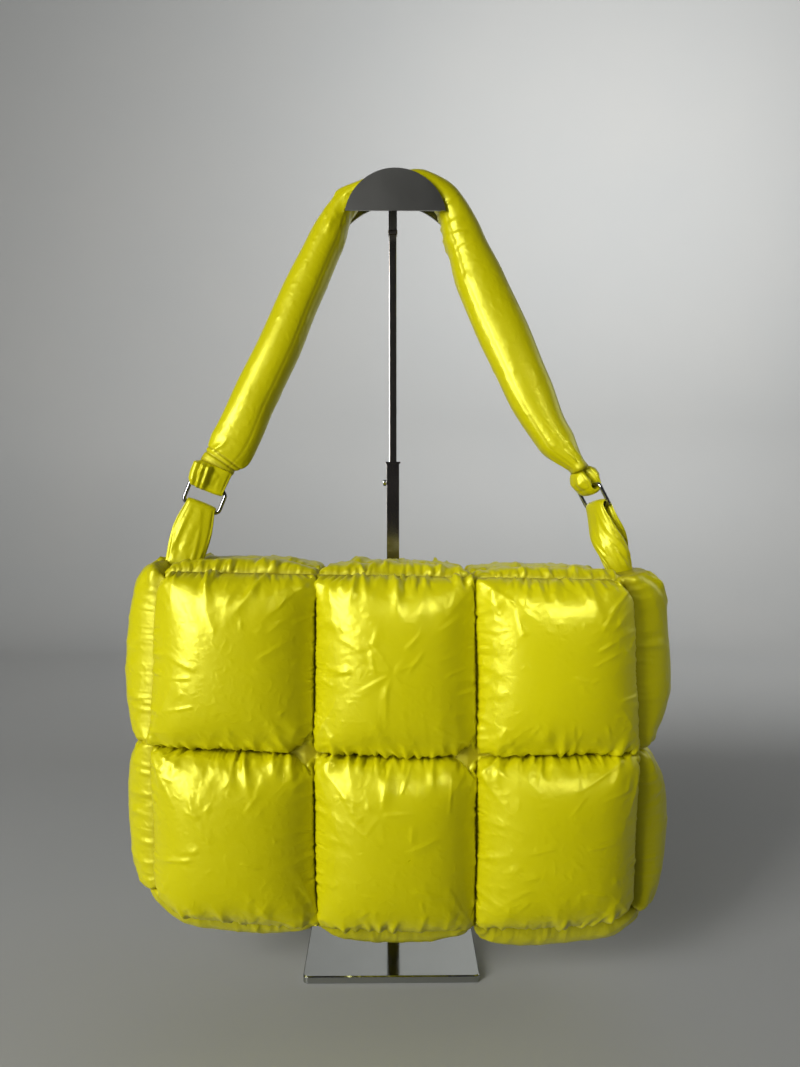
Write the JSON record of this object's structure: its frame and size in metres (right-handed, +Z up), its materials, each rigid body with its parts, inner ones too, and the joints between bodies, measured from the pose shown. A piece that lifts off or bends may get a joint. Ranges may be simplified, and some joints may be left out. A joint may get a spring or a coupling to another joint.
{
  "type": "quilted pillow bag on display stand",
  "caption": "Chartreuse puffer-quilted nylon shoulder bag with padded gussets and strap, hung by its strap on the saddle of a slim chrome display stand",
  "frame": {"origin": "middle of the underside of the stand's base plate", "axes": "+Z up along the post, -Y the way the bag's front faces, +X to the right as seen from the front"},
  "size_m": [0.3883, 0.1826, 0.6041],
  "materials": {
    "nylon": "glossy woven nylon",
    "chrome": "polished"
  },
  "bodies": {
    "root": {"front_panel": "nylon", "back_panel": "nylon", "left_gusset": "nylon", "right_gusset": "nylon", "bottom_gusset": "nylon", "top_front_lip": "nylon", "top_back_lip": "nylon", "strap": "nylon", "left_loop": "nylon", "left_ring": "chrome", "left_tab": "nylon", "right_loop": "nylon", "right_ring": "chrome", "right_tab": "nylon", "base_plate": "chrome", "lower_post": "chrome", "upper_post": "chrome", "clamp_screw": "chrome", "saddle": "chrome"}
  },
  "joints": []
}
